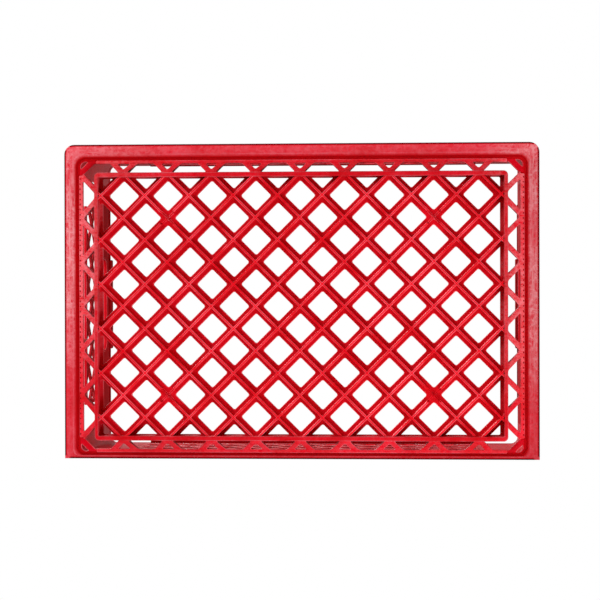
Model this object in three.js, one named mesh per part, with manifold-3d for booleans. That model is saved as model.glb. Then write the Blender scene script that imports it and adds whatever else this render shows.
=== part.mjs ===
// A plastic stacking crate: one injection moulding with a diamond-lattice floor, a stacking ring
// under it, a flat ledge around its bottom edge, four lattice walls and a thin top rim.
// Millimetres, +Z up. The origin is on the surface the crate stands on, under its centre,
// with the long sides along X. Each region of the moulding is a mesh of its own. The back wall
// leans out from a foot that is set in, so the ledge is narrow and square-cornered on that side.

import * as THREE from "three";
import { mergeVertices } from "three/addons/utils/BufferGeometryUtils.js";
import Module from "manifold-3d";

const wasm = await Module();
wasm.setup();

// Driving dimensions
const HALF_LENGTH = 241;
const HALF_WIDTH = 165;
const HEIGHT = 280;
const CORNER_RADIUS = 10;
const PITCH = 45;

// Heights, from the surface up
const RIDGE_BOTTOM = 1.5;
const LEDGE_BOTTOM = 8;
const FLOOR_BOTTOM = 12;
const FLOOR_TOP = 15;
const BAND_TOP = 46;
const PANEL_BOTTOM = 117;
const HANDLE_BOTTOM = 190;
const RIM_BOTTOM = 258;
const WEB_TOP = 246;
const SLOT_BOTTOM = 211;
const SLOT_TOP = 239;

// Floor: stacking ring, lattice and edge struts
const RING_OUTER = [209, 136];
const RING_BAR_INNER = [205, 131];
const RING_INNER = [202, 130];
const RING_RADIUS = 4;
const RIDGE_WIDTH = 2.5;
const RIB_WIDTH = 9.5;
const STRUT_WIDTH = 5.5;
const STRIP_WIDTH = 3.5;

// Ledge around the bottom edge, as insets from the outer faces
const LEDGE_WIDTH = 12.5;
const LEDGE_STEP = 15.5;
const STEP_RADIUS = 7;

// Corner pieces: where the floor edges, posts and gussets meet
const EDGE_SPLIT = [200, 130.5];
const GUSSET_LINE = 355.5;
const GUSSET_HOLE_RADIUS = 5.5;
const POST_SPLIT = [224, 137];

// Walls
const WALL = 3;
const WALL_RIB_WIDTH = 8;
const RAIL = 5;
const LONG_PANEL_HALF = 191;
const SIDE_PANEL_HALF = 108;
const SLOT_HALF = 52;
const SLOT_END_RADIUS = 12;
const SLOT_POSTS = [-96.5, -38.5, 38.5, 96.5];
const SLOT_POST_WIDTH = 5;

// Back wall: how far in its foot stands, and the plane behind which the moulding leans
const FOOT_INSET = 10;
const LEAN_START = 151.5;

// Top rim, the lip inside it and the thicker part of it over each hand slot
const RIM_WIDTH = 2;
const RIM_EDGE = 0.5;
const LIP_WIDTH = 1.5;
const BACK_LIP_WIDTH = 3.5;
const LIP_HEIGHTS = [266, 270];
const LIP_HALF = [190, 115];
const GRIP_BOTTOM = 262;
const GRIP_DEPTH = 3;

const ARC_STEPS = 3;
const HALF_TURN = new THREE.Matrix4().makeScale(-1, -1, 1);
const LONG_WALL = new THREE.Matrix4().set(1, 0, 0, 0, 0, 0, -1, 0, 0, 1, 0, 0, 0, 0, 0, 1);
const SHORT_WALL = new THREE.Matrix4().set(0, 0, 1, 0, 1, 0, 0, 0, 0, 1, 0, 0, 0, 0, 0, 1);

const crate = new THREE.Group();

// ---- Solids ----------------------------------------------------------------

function toSolid(geometry) {
  const bare = geometry.clone();
  bare.deleteAttribute("normal");
  bare.deleteAttribute("uv");
  const merged = mergeVertices(bare, 1e-5);
  const mesh = new wasm.Mesh({
    numProp: 3,
    vertProperties: new Float32Array(merged.attributes.position.array),
    triVerts: new Uint32Array(merged.index.array),
  });
  return new wasm.Manifold(mesh);
}

function toGeometry(solid) {
  const mesh = solid.getMesh();
  const geometry = new THREE.BufferGeometry();
  geometry.setAttribute("position", new THREE.BufferAttribute(mesh.vertProperties, 3));
  geometry.setIndex(new THREE.BufferAttribute(mesh.triVerts, 1));
  geometry.computeVertexNormals();
  return geometry;
}

function join(solids) {
  return solids.reduce((whole, solid) => whole.add(solid));
}

function box(x0, x1, y0, y1, z0, z1) {
  const geometry = new THREE.BoxGeometry(x1 - x0, y1 - y0, z1 - z0);
  geometry.translate((x0 + x1) / 2, (y0 + y1) / 2, (z0 + z1) / 2);
  return toSolid(geometry);
}

// An outline of [u, v] points pushed along w, in the outline's own axes.
function prismGeometry(points, w0, w1, holes = []) {
  const shape = new THREE.Shape(points.map(([u, v]) => new THREE.Vector2(u, v)));
  for (const hole of holes) {
    shape.holes.push(new THREE.Path(hole.map(([u, v]) => new THREE.Vector2(u, v))));
  }
  const geometry = new THREE.ExtrudeGeometry(shape, { depth: w1 - w0, bevelEnabled: false });
  geometry.translate(0, 0, w0);
  return geometry;
}

function prism(points, z0, z1) {
  return toSolid(prismGeometry(points, z0, z1));
}

// A straight bar through (u, v) at 45 degrees, rising to the right or to the left.
function diagonalBar(u, v, rising, width, reach) {
  const side = width / 2 / Math.SQRT2;
  const turn = rising ? 1 : -1;
  return [
    [u - reach - side, v - turn * (reach - side)],
    [u - reach + side, v - turn * (reach + side)],
    [u + reach + side, v + turn * (reach - side)],
    [u + reach - side, v + turn * (reach + side)],
  ];
}

function arc(centreU, centreV, radius, from, to, steps) {
  const points = [];
  for (let i = 0; i <= steps; i++) {
    const angle = from + ((to - from) * i) / steps;
    points.push([centreU + radius * Math.cos(angle), centreV + radius * Math.sin(angle)]);
  }
  return points;
}

// ---- Naming and placing ----------------------------------------------------

function plastic(colour) {
  return new THREE.MeshStandardMaterial({ color: colour, roughness: 0.45, metalness: 0 });
}

// Sets the foot of the back wall in and squares its corners, fading to nothing at the rim.
function leanBack(geometry) {
  const position = geometry.attributes.position;
  const cornerX = HALF_LENGTH - CORNER_RADIUS;
  const cornerY = HALF_WIDTH - CORNER_RADIUS;
  for (let i = 0; i < position.count; i++) {
    const x = position.getX(i);
    const y = position.getY(i);
    const z = position.getZ(i);
    if (y <= LEAN_START || z >= RIM_BOTTOM) {
      continue;
    }
    const share = (RIM_BOTTOM - z) / (RIM_BOTTOM - LEDGE_BOTTOM);
    const across = Math.max(0, Math.abs(x) - cornerX);
    const out = Math.max(0, y - cornerY);
    const square = across && out ? Math.hypot(across, out) / Math.max(across, out) - 1 : 0;
    const grow = share * square;
    const grownY = y + out * grow;
    const moved = Math.min(1, (grownY - LEAN_START) / (HALF_WIDTH - WALL - LEAN_START));
    position.setX(i, x + Math.sign(x) * across * grow);
    position.setY(i, grownY - share * moved * FOOT_INSET);
  }
  geometry.computeVertexNormals();
  return geometry;
}

function addMesh(name, geometry, colour = 0xc8101e) {
  const mesh = new THREE.Mesh(leanBack(geometry), plastic(colour));
  mesh.name = name;
  crate.add(mesh);
}

// A piece and its copy on the opposite side, half a turn round the vertical axis.
function addPair(name, sides, geometry, colour) {
  addMesh(`${name}_${sides[0]}`, geometry, colour);
  addMesh(`${name}_${sides[1]}`, geometry.clone().applyMatrix4(HALF_TURN), colour);
}

const FRONT_BACK = ["front", "back"];
const RIGHT_LEFT = ["right", "left"];
const CORNERS = [
  ["front_left", -1, -1],
  ["front_right", 1, -1],
  ["back_left", -1, 1],
  ["back_right", 1, 1],
];

// ---- Floor -----------------------------------------------------------------

// Every diagonal of the square grid that crosses a rectangle, as [u, rising] at height v.
function diagonals(halfU, halfV) {
  const count = Math.ceil((halfU + halfV) / PITCH);
  const lines = [];
  for (let n = -count; n <= count; n++) {
    lines.push([n * PITCH, true]);
    lines.push([n * PITCH, false]);
  }
  return lines;
}

function floorGrid() {
  const [halfX, halfY] = RING_INNER;
  const reach = halfX + halfY;
  const flanges = [];
  const ridges = [];
  for (const [u, rising] of diagonals(halfX, halfY)) {
    flanges.push(prism(diagonalBar(u, 0, rising, RIB_WIDTH, reach), FLOOR_BOTTOM, FLOOR_TOP));
    ridges.push(prism(diagonalBar(u, 0, rising, RIDGE_WIDTH, reach), RIDGE_BOTTOM, FLOOR_BOTTOM));
  }
  const room = box(-halfX, halfX, -halfY, halfY, 0, FLOOR_TOP);
  const floor = join([...flanges, ...ridges]).intersect(room);
  addMesh("floor_grid", toGeometry(floor));
}

function roundedRectangle(halfX, halfY, radius) {
  const points = [];
  const corners = [
    [1, 1, 0],
    [-1, 1, 1],
    [-1, -1, 2],
    [1, -1, 3],
  ];
  for (const [signX, signY, quarter] of corners) {
    const start = (quarter * Math.PI) / 2;
    const centre = [signX * (halfX - radius), signY * (halfY - radius)];
    points.push(...arc(...centre, radius, start, start + Math.PI / 2, ARC_STEPS));
  }
  return points;
}

function rectangle(halfX, halfY) {
  return [
    [-halfX, -halfY],
    [halfX, -halfY],
    [halfX, halfY],
    [-halfX, halfY],
  ];
}

// A flat-faced bar, with a thin flange inside it that carries the ends of the lattice.
function stackingRing() {
  const flange = prismGeometry(
    roundedRectangle(...RING_OUTER, RING_RADIUS),
    FLOOR_BOTTOM,
    FLOOR_TOP,
    [rectangle(...RING_INNER)],
  );
  const bar = prismGeometry(
    roundedRectangle(...RING_OUTER, RING_RADIUS),
    0,
    FLOOR_BOTTOM,
    [rectangle(...RING_BAR_INNER)],
  );
  addMesh("stacking_ring", toGeometry(toSolid(flange).add(toSolid(bar))));
}

// One side of the floor outside the ring: a strip along the ledge and a V of two struts
// at each place where lattice ribs meet the ring. Built in u along the side, v outwards.
function floorEdge(ringOuter, ringNode, nodeCount, splitHalf, outer) {
  const depth = outer - ringOuter;
  const strip = box(-splitHalf, splitHalf, outer - STRIP_WIDTH, outer, FLOOR_BOTTOM, FLOOR_TOP);
  const pieces = [strip];
  for (let i = 0; i < nodeCount; i++) {
    const u = (i - (nodeCount - 1) / 2) * PITCH;
    for (const rising of [true, false]) {
      const bar = diagonalBar(u, ringNode, rising, STRUT_WIDTH, 2 * depth);
      pieces.push(prism(bar, FLOOR_BOTTOM, FLOOR_TOP));
    }
  }
  const room = box(-splitHalf, splitHalf, ringOuter, outer, FLOOR_BOTTOM, FLOOR_TOP);
  return toGeometry(join(pieces).intersect(room));
}

function floorEdges() {
  const long = floorEdge(RING_OUTER[1], 3 * PITCH, 9, EDGE_SPLIT[0], HALF_WIDTH - LEDGE_STEP);
  addPair("floor_edge", ["back", "front"], long);
  const short = floorEdge(RING_OUTER[0], 4.5 * PITCH, 6, EDGE_SPLIT[1], HALF_LENGTH - LEDGE_STEP);
  const quarterTurn = new THREE.Matrix4().set(0, 1, 0, 0, -1, 0, 0, 0, 0, 0, 1, 0, 0, 0, 0, 1);
  addPair("floor_edge", RIGHT_LEFT, short.applyMatrix4(quarterTurn));
}

// The corner of the floor strip: a flat web across it, with a D-shaped hole behind the web.
function cornerGusset(signX, signY) {
  const outer = [HALF_LENGTH - LEDGE_STEP, HALF_WIDTH - LEDGE_STEP];
  const inner = outer.map((half) => half - STRIP_WIDTH);
  const centre = outer.map((half) => half - STEP_RADIUS);
  const outline = [
    [EDGE_SPLIT[0], outer[1]],
    [EDGE_SPLIT[0], inner[1]],
    [GUSSET_LINE - inner[1], inner[1]],
    [inner[0], GUSSET_LINE - inner[0]],
    [inner[0], EDGE_SPLIT[1]],
    [outer[0], EDGE_SPLIT[1]],
    ...arc(...centre, STEP_RADIUS, 0, Math.PI / 2, 2 * ARC_STEPS),
  ];
  const past = Math.PI / 9;
  const hole = arc(...centre, GUSSET_HOLE_RADIUS, -past, Math.PI / 2 + past, 2 * ARC_STEPS);
  const signed = (points) => points.map(([x, y]) => [signX * x, signY * y]);
  const web = prism(signed(outline), FLOOR_BOTTOM, FLOOR_TOP);
  return toGeometry(web.subtract(prism(signed(hole), FLOOR_BOTTOM, FLOOR_TOP)));
}

// ---- Ledge, rim and other rings in four mitred sides -----------------------

// A point on a rounded rectangle inset from the outer faces, in the first quadrant.
function cornerPoint(inset, radius, angle) {
  return [
    HALF_LENGTH - inset - radius + radius * Math.cos(angle),
    HALF_WIDTH - inset - radius + radius * Math.sin(angle),
  ];
}

// One side of a ring from mitre to mitre. The section is a loop of {inset, radius, z} that
// runs up the outer face first.
function mitredSide(section, isLong) {
  const middle = Math.PI / 4;
  const square = isLong ? Math.PI / 2 : 0;
  const rows = section.map(({ inset, radius, z }) => {
    const half = [];
    for (let i = 0; i <= ARC_STEPS; i++) {
      half.push(cornerPoint(inset, radius, middle + ((square - middle) * i) / ARC_STEPS));
    }
    const start = half.map(([x, y]) => (isLong ? [-x, -y, z] : [x, -y, z]));
    const end = half.map(([x, y]) => (isLong ? [x, -y, z] : [x, y, z]));
    return [...start, ...end.reverse()];
  });
  const steps = rows[0].length;
  const positions = rows.flat(2);
  const index = [];
  for (let j = 0; j < rows.length; j++) {
    const next = ((j + 1) % rows.length) * steps;
    for (let i = 0; i < steps - 1; i++) {
      const here = j * steps + i;
      index.push(here, here + 1, next + i + 1);
      index.push(here, next + i + 1, next + i);
    }
  }
  const outline = section.map(({ inset, z }) => new THREE.Vector2(inset, z));
  const last = steps - 1;
  for (const triangle of THREE.ShapeUtils.triangulateShape(outline, [])) {
    const clockwise = THREE.ShapeUtils.area(triangle.map((k) => outline[k])) < 0;
    const [a, b, c] = (clockwise ? triangle : triangle.reverse()).map((k) => k * steps);
    index.push(a, b, c);
    index.push(c + last, b + last, a + last);
  }
  const geometry = new THREE.BufferGeometry();
  geometry.setAttribute("position", new THREE.Float32BufferAttribute(positions, 3));
  geometry.setIndex(index);
  geometry.computeVertexNormals();
  return geometry;
}

function addMitredRing(name, section, colour) {
  addPair(name, FRONT_BACK, mitredSide(section, true), colour);
  addPair(name, RIGHT_LEFT, mitredSide(section, false), colour);
}

// The flat ledge under the wall, with a slope on its inner side up to the floor strip.
function baseLedge() {
  const round = CORNER_RADIUS;
  addMitredRing("base_ledge", [
    { inset: 0, radius: round, z: LEDGE_BOTTOM },
    { inset: 0, radius: round, z: FLOOR_TOP },
    { inset: LEDGE_STEP, radius: STEP_RADIUS, z: FLOOR_TOP },
    { inset: LEDGE_STEP, radius: STEP_RADIUS, z: FLOOR_BOTTOM },
    { inset: LEDGE_WIDTH, radius: round, z: LEDGE_BOTTOM },
  ], 0xd2202e);
}

function topRim() {
  const round = CORNER_RADIUS;
  addMitredRing("top_rim", [
    { inset: 0, radius: round, z: RIM_BOTTOM },
    { inset: 0, radius: round, z: HEIGHT - RIM_EDGE },
    { inset: RIM_EDGE, radius: round - RIM_EDGE, z: HEIGHT },
    { inset: RIM_WIDTH - RIM_EDGE, radius: round - RIM_WIDTH + RIM_EDGE, z: HEIGHT },
    { inset: RIM_WIDTH, radius: round - RIM_WIDTH, z: HEIGHT - RIM_EDGE },
    { inset: RIM_WIDTH, radius: round - RIM_WIDTH, z: RIM_BOTTOM },
  ], 0xd2202e);
}

// ---- Walls -----------------------------------------------------------------

function cornerPost(signX, signY) {
  const outerArc = arc(
    HALF_LENGTH - CORNER_RADIUS,
    HALF_WIDTH - CORNER_RADIUS,
    CORNER_RADIUS,
    0,
    Math.PI / 2,
    2 * ARC_STEPS,
  );
  const innerArc = arc(
    HALF_LENGTH - CORNER_RADIUS,
    HALF_WIDTH - CORNER_RADIUS,
    CORNER_RADIUS - WALL,
    Math.PI / 2,
    0,
    2 * ARC_STEPS,
  );
  const outline = [
    [HALF_LENGTH, POST_SPLIT[1]],
    ...outerArc,
    [POST_SPLIT[0], HALF_WIDTH],
    [POST_SPLIT[0], HALF_WIDTH - WALL],
    ...innerArc,
    [HALF_LENGTH - WALL, POST_SPLIT[1]],
  ];
  return prismGeometry(outline.map(([x, y]) => [signX * x, signY * y]), FLOOR_TOP, RIM_BOTTOM);
}

function lowerBands() {
  const [halfX, halfY] = POST_SPLIT;
  const front = box(-halfX, halfX, -HALF_WIDTH, -HALF_WIDTH + WALL, FLOOR_TOP, BAND_TOP);
  addPair("lower_band", FRONT_BACK, toGeometry(front));
  const right = box(HALF_LENGTH - WALL, HALF_LENGTH, -halfY, halfY, FLOOR_TOP, BAND_TOP);
  addPair("lower_band", RIGHT_LEFT, toGeometry(right));
}

// A diamond lattice in a frame, in u along the wall and v up it.
function latticePanel(half, bottom, top) {
  const middle = (bottom + top) / 2;
  const rise = (top - bottom) / 2;
  const frame = toSolid(
    prismGeometry(
      rectangle(half, rise).map(([u, v]) => [u, v + middle]),
      0,
      WALL,
      [rectangle(half - RAIL, rise - RAIL).map(([u, v]) => [u, v + middle])],
    ),
  );
  const bars = diagonals(half, rise).map(([u, rising]) =>
    prism(diagonalBar(u, middle, rising, WALL_RIB_WIDTH, half + rise), 0, WALL),
  );
  const room = prism(rectangle(half, rise).map(([u, v]) => [u, v + middle]), 0, WALL);
  return join([frame, ...bars]).intersect(room);
}

// Each long panel has a plain web at either end, which stops short of the rim.
function latticeWalls() {
  const webs = [-1, 1].map((side) => {
    const ends = [side * LONG_PANEL_HALF, side * POST_SPLIT[0]].sort((a, b) => a - b);
    return box(...ends, BAND_TOP, WEB_TOP, 0, WALL);
  });
  const panel = latticePanel(LONG_PANEL_HALF, BAND_TOP, RIM_BOTTOM);
  const long = toGeometry(join([panel, ...webs]));
  long.applyMatrix4(LONG_WALL);
  long.translate(0, -HALF_WIDTH + WALL, 0);
  addPair("wall_lattice", FRONT_BACK, long);
  const short = toGeometry(latticePanel(SIDE_PANEL_HALF, PANEL_BOTTOM, HANDLE_BOTTOM));
  short.applyMatrix4(SHORT_WALL);
  short.translate(HALF_LENGTH - WALL, 0, 0);
  addPair("wall_lattice", RIGHT_LEFT, short);
}

// Short posts that carry each end panel above the long slot on the lower band.
function slotPosts() {
  const width = SLOT_POST_WIDTH / 2;
  SLOT_POSTS.forEach((y, i) => {
    const inside = HALF_LENGTH - WALL;
    const post = box(inside, HALF_LENGTH, y - width, y + width, BAND_TOP, PANEL_BOTTOM);
    addPair("slot_post", RIGHT_LEFT.map((side) => `${side}_${i + 1}`), toGeometry(post));
  });
}

function slotOutline() {
  const r = SLOT_END_RADIUS;
  const corners = [
    [SLOT_HALF - r, SLOT_TOP - r, 0],
    [-SLOT_HALF + r, SLOT_TOP - r, 1],
    [-SLOT_HALF + r, SLOT_BOTTOM + r, 2],
    [SLOT_HALF - r, SLOT_BOTTOM + r, 3],
  ];
  return corners.flatMap(([u, v, quarter]) => {
    const start = (quarter * Math.PI) / 2;
    return arc(u, v, r, start, start + Math.PI / 2, ARC_STEPS);
  });
}

// The solid upper part of each end wall, with a hand slot through it.
function handlePanels() {
  const half = POST_SPLIT[1];
  const outline = [
    [-half, HANDLE_BOTTOM],
    [half, HANDLE_BOTTOM],
    [half, RIM_BOTTOM],
    [-half, RIM_BOTTOM],
  ];
  const panel = prismGeometry(outline, 0, WALL, [slotOutline()]);
  panel.applyMatrix4(SHORT_WALL);
  panel.translate(HALF_LENGTH - WALL, 0, 0);
  addPair("handle_panel", RIGHT_LEFT, panel);
}

// The part of the rim over each hand slot, thickened on its inner side.
function handleGrips() {
  const rim = HALF_LENGTH - RIM_WIDTH;
  const face = rim - GRIP_DEPTH;
  const top = HEIGHT - RIM_EDGE;
  const section = [
    [rim, GRIP_BOTTOM],
    [rim, top],
    ...arc(face + RIM_EDGE, top - RIM_EDGE, RIM_EDGE, Math.PI / 2, Math.PI, ARC_STEPS),
    [face, GRIP_BOTTOM + GRIP_DEPTH],
  ];
  const grip = prismGeometry(section, -SLOT_HALF, SLOT_HALF);
  grip.applyMatrix4(LONG_WALL);
  addPair("handle_grip", RIGHT_LEFT, grip);
}

// A low lip inside the rim, along the middle of each wall, and widest on the back one. The end
// ones leave room for the grip.
function rimLips() {
  const [z0, z1] = LIP_HEIGHTS;
  const [halfX, halfY] = LIP_HALF;
  const y = HALF_WIDTH - RIM_WIDTH;
  const x = HALF_LENGTH - RIM_WIDTH;
  addMesh("rim_lip_front", toGeometry(box(-halfX, halfX, -y, -y + LIP_WIDTH, z0, z1)));
  addMesh("rim_lip_back", toGeometry(box(-halfX, halfX, y - BACK_LIP_WIDTH, y, z0, z1)));
  [-1, 1].forEach((side, i) => {
    const ends = [side * SLOT_HALF, side * halfY].sort((a, b) => a - b);
    const names = RIGHT_LEFT.map((end) => `${end}_${i + 1}`);
    addPair("rim_lip", names, toGeometry(box(x - LIP_WIDTH, x, ...ends, z0, z1)));
  });
}

floorGrid();
stackingRing();
floorEdges();
baseLedge();
lowerBands();
latticeWalls();
slotPosts();
handlePanels();
handleGrips();
topRim();
rimLips();
for (const [corner, signX, signY] of CORNERS) {
  addMesh(`corner_gusset_${corner}`, cornerGusset(signX, signY));
  addMesh(`corner_post_${corner}`, cornerPost(signX, signY));
}

export default crate;
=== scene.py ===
"""A red plastic stacking crate, seen from under its lattice floor.

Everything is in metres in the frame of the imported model: the crate stands on z = 0 with its
long sides along X. Each group of CAD nodes is shown by a detailed mesh in the same place.
"""

import math

import bmesh
import bpy
import numpy as np
from mathutils import Matrix, Vector


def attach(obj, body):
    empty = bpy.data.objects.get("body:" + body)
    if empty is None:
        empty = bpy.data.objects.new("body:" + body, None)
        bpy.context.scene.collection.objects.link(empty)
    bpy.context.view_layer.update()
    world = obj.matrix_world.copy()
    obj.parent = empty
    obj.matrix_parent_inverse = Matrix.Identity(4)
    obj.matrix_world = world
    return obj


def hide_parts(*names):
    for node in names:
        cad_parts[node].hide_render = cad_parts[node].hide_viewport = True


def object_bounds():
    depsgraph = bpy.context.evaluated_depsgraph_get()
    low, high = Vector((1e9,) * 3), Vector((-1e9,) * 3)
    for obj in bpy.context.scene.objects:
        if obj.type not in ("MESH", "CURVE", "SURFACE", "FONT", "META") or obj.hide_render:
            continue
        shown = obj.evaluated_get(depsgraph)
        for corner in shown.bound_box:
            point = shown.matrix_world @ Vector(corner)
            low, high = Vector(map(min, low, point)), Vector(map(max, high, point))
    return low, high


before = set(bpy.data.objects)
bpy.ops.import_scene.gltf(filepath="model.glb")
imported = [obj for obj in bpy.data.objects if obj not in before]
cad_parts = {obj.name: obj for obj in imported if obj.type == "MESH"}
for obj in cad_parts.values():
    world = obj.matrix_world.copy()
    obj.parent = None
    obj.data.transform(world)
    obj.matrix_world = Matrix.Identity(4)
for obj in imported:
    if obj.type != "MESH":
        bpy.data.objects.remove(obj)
cad_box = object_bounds()

HALF_LENGTH, HALF_WIDTH, HEIGHT = cad_box[1]
PITCH = 0.045
CORNER_RADIUS = 0.010
WALL = 0.003

# How far pieces reach into their neighbours, and what keeps their faces out of one plane
OVERLAP = 0.001
HAIR = 0.0001

# Floor heights
RIDGE_Z = 0.0015
LEDGE_Z = 0.008
STRIP_Z = 0.0095
GROOVE_Z = 0.0108
FLANGE_Z = 0.012
FLOOR_Z = 0.015

# Floor plan, as half sizes in x and y
RING_OUTER = (0.209, 0.136)
RING_INNER = (0.205, 0.131)
RING_FLANGE = (0.2017, 0.1302)
STRIP_INNER = (0.222, 0.1452)
STRIP_OUTER = (0.226, 0.1487)
STRIP_END = (0.2085, 0.1335)
GROOVE_OUTER = (0.2288, 0.1518)
GUSSET_LINE = 0.3555
GUSSET_END = (0.2045, 0.1305)
GUSSET_CENTRE = (0.2191, 0.1423)
GUSSET_HOLE_RADIUS = 0.0052
TOOTH_PITCH = 0.0052
TOOTH_WIDTH = 0.0016
STRUT_WIDTH = 0.0054
RIB_WIDTH = 0.0100
RIDGE_WIDTH = 0.0022
RIB_FILLET = 0.0019

# Wall heights
BAND_TOP = 0.046
PANEL_BOTTOM = 0.117
HANDLE_BOTTOM = 0.190
SLOT_BOTTOM = 0.211
SLOT_TOP = 0.239
WEB_TOP = 0.246
RIM_BOTTOM = 0.258

# Wall plan
POST_SPLIT = (0.224, 0.137)
LONG_PANEL_HALF = 0.191
SIDE_PANEL_HALF = 0.108
RAIL = 0.005
WALL_RIB_FILLET = 0.0016
SLOT_HALF = 0.052
SLOT_END = 0.012
SLOT_POSTS = (-0.0965, -0.0385, 0.0385, 0.0965)
SLOT_POST_WIDTH = 0.005
RIM_WIDTH = 0.002
LIP_WIDTH = 0.0015
BACK_LIP_WIDTH = 0.0035
LIP_HEIGHTS = (0.266, 0.270)
LIP_HALF = (0.190, 0.115)
GRIP_BOTTOM = 0.262
GRIP_DEPTH = 0.003
RIM_BITE = 0.0008

# Half the section of a wall's rib, from its back to its front: from its middle, and depth
WALL_RIB_PROFILE = (
    (0, WALL),
    (0.0042, WALL),
    (0.0042, 0.0017),
    (0.0013, 0.0016),
    (0.0011, 0.0002),
    (0, 0.0002),
)

# Back wall: how far in its foot stands, and the plane behind which the moulding leans
FOOT_INSET = 0.010
LEAN_START = 0.1515

GATES = [(x * 3 * PITCH, y * 2 * PITCH) for x in (-1, 1) for y in (-1, 1)]
GATE_REACH = 0.0087
GATE_STATIONS = [GATE_REACH * share for share in (0.88, 0.95, 1.01, 1.08)]
GATE_SCAR = 0.0030
GATE_SCAR_HEIGHT = 0.0024

# Colours
DEEP_RED = (0.66, 0.0003, 0.0075)
BRIGHT_RED = (0.80, 0.0022, 0.0200)
FLOW_RED = (0.90, 0.018, 0.048)
RUBBED_PINK = (0.80, 0.060, 0.098)
SCUFF_AND_SHEEN_PINK = (0.93, 0.43, 0.45)
EDGE_PINK = (0.95, 0.38, 0.46)
# Colours of painted shade: light, then deep
SHADE_RED = (0.44, 0.0003, 0.0035)
DEEP_SHADE = (0.07, 0.0006, 0.004)

# Strength of the pale edges of wear and painted highlight, the gloss, and extra roughness under
# painted shade
EDGE_WEAR_AND_HIGHLIGHT = 0.85
SPECULAR = 0.09
DULLNESS = 0.4

# How exposed a vertex is: 1 is pale, partly wear and partly painted highlight, 0 is plain, below 0 it
# is darker and matt, on most pieces as painted shade, and towards -1 dark as deep painted shade
STRUT_WEAR_AND_HIGHLIGHT = 0.5
RIDGE_WEAR_AND_HIGHLIGHT = 0.05
FLANGE_SHADE = -0.24
STRUT_BACK_DARKENING = -0.3
INSIDE_SHADE = -0.55
WALL_RIB_SHADE = {"front": -0.6, "back": -0.85, "left": -0.6, "right": -0.6}
GROOVE_SHADE = -0.62
GRIP_SHADE = -0.7
LIP_SHADE = -0.72
TOOTH_SHADE = -0.78
OUTER_EDGE_SHADE = -1.0

# Depths from a wall's outer face between which the sides of its ribs lie
RIB_SIDES = (0.0013, 0.0026)

# Places where the crate is palest, partly rubbed wear and partly painted sheen, as x, y and reach
PALE_PLACES = (
    (-0.236, -0.060, 0.150),
    (0.236, -0.005, 0.120),
    (0.236, -0.125, 0.070),
)

# World brightness below and above the horizon, and the lights as name, place, width and power
WORLD_BELOW = 0.03
WORLD_ABOVE = 0.28
LIGHT_TARGET = (0, 0, 0.02)
LIGHTS = (
    ("key", (-1.25, -1.05, -1.25), 0.9, 22),
    ("fill", (1.1, 1.3, -1.2), 0.9, 30),
    ("top_key", (-3.0, -3.5, 5.0), 4.0, 360),
)
STAGE_Z = -0.0005

# Camera: its place, its turns about x, y and z in degrees, and its lens in millimetres
CAMERA_PLACE = (0.0920, -0.0168, -1.688)
CAMERA_TURNS = (0.354, 3.114, -0.091)
CAMERA_LENS = 100.64

FLOOR_FRAME = np.eye(4)


def wall_frame(side):
    """Turns (along, up, depth from the outer face) into x, y, z for one wall."""
    sign = 1 if side in ("front", "right") else -1
    matrix = np.zeros((4, 4))
    matrix[2, 1] = matrix[3, 3] = 1
    if side in ("front", "back"):
        matrix[0, 0] = sign
        matrix[1, 2] = sign
        matrix[1, 3] = -sign * HALF_WIDTH
    else:
        matrix[1, 0] = sign
        matrix[0, 2] = -sign
        matrix[0, 3] = sign * HALF_LENGTH
    return matrix


# ---- Mesh tools -------------------------------------------------------------


class Shape:
    """Vertices, faces and how exposed each vertex is, from -1 (deep painted shade) to 1 (pale)."""

    def __init__(self):
        self.vertices = []
        self.faces = []
        self.exposed = []

    def add(self, vertices, faces, exposed, matrix=FLOOR_FRAME):
        first = len(self.vertices)
        vertices = np.asarray(vertices, float)
        placed = vertices @ matrix[:3, :3].T + matrix[:3, 3]
        self.vertices.extend(map(tuple, placed))
        self.faces.extend(tuple(first + k for k in face) for face in faces)
        self.exposed.extend(exposed)


def soften(corners, radii, steps=3):
    """Rounds the corners of a closed loop of points, and marks the middles of convex ones."""
    corners = np.asarray(corners, float)
    across, depth = corners[:, 0], corners[:, -1]
    area = np.sum(across * np.roll(depth, -1) - np.roll(across, -1) * depth)
    points = []
    exposed = []
    for i, radius in enumerate(radii):
        corner = corners[i]
        before = corners[i - 1] - corner
        after = corners[(i + 1) % len(corners)] - corner
        if not radius:
            points.append(corner)
            exposed.append(0.0)
            continue
        turn = before[-1] * after[0] - before[0] * after[-1]
        start = corner + before * (radius / np.linalg.norm(before))
        end = corner + after * (radius / np.linalg.norm(after))
        for t in np.linspace(0, 1, steps + 1):
            points.append((1 - t) ** 2 * start + 2 * t * (1 - t) * corner + t * t * end)
            exposed.append(4 * t * (1 - t) if turn * area > 0 else 0.0)
    return np.array(points), exposed


def rounded_rectangle(half_u, half_v, radius, steps=8):
    points = []
    for quarter, (sign_u, sign_v) in enumerate(((1, 1), (-1, 1), (-1, -1), (1, -1))):
        for k in range(steps + 1):
            angle = (quarter + k / steps) * math.pi / 2
            u = sign_u * (half_u - radius) + radius * math.cos(angle)
            v = sign_v * (half_v - radius) + radius * math.sin(angle)
            points.append((u, v))
    return points


def rounded_outline(points, radius, steps=4):
    """A plan outline with every corner rounded by at most the given radius."""
    points = np.asarray(points, float)
    result = []
    for i, corner in enumerate(points):
        before = points[i - 1] - corner
        after = points[(i + 1) % len(points)] - corner
        reach = min(radius, np.linalg.norm(before) * 0.45, np.linalg.norm(after) * 0.45)
        start = corner + before * (reach / np.linalg.norm(before))
        end = corner + after * (reach / np.linalg.norm(after))
        for t in np.linspace(0, 1, steps + 1):
            result.append((1 - t) ** 2 * start + 2 * t * (1 - t) * corner + t * t * end)
    return result


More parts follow.
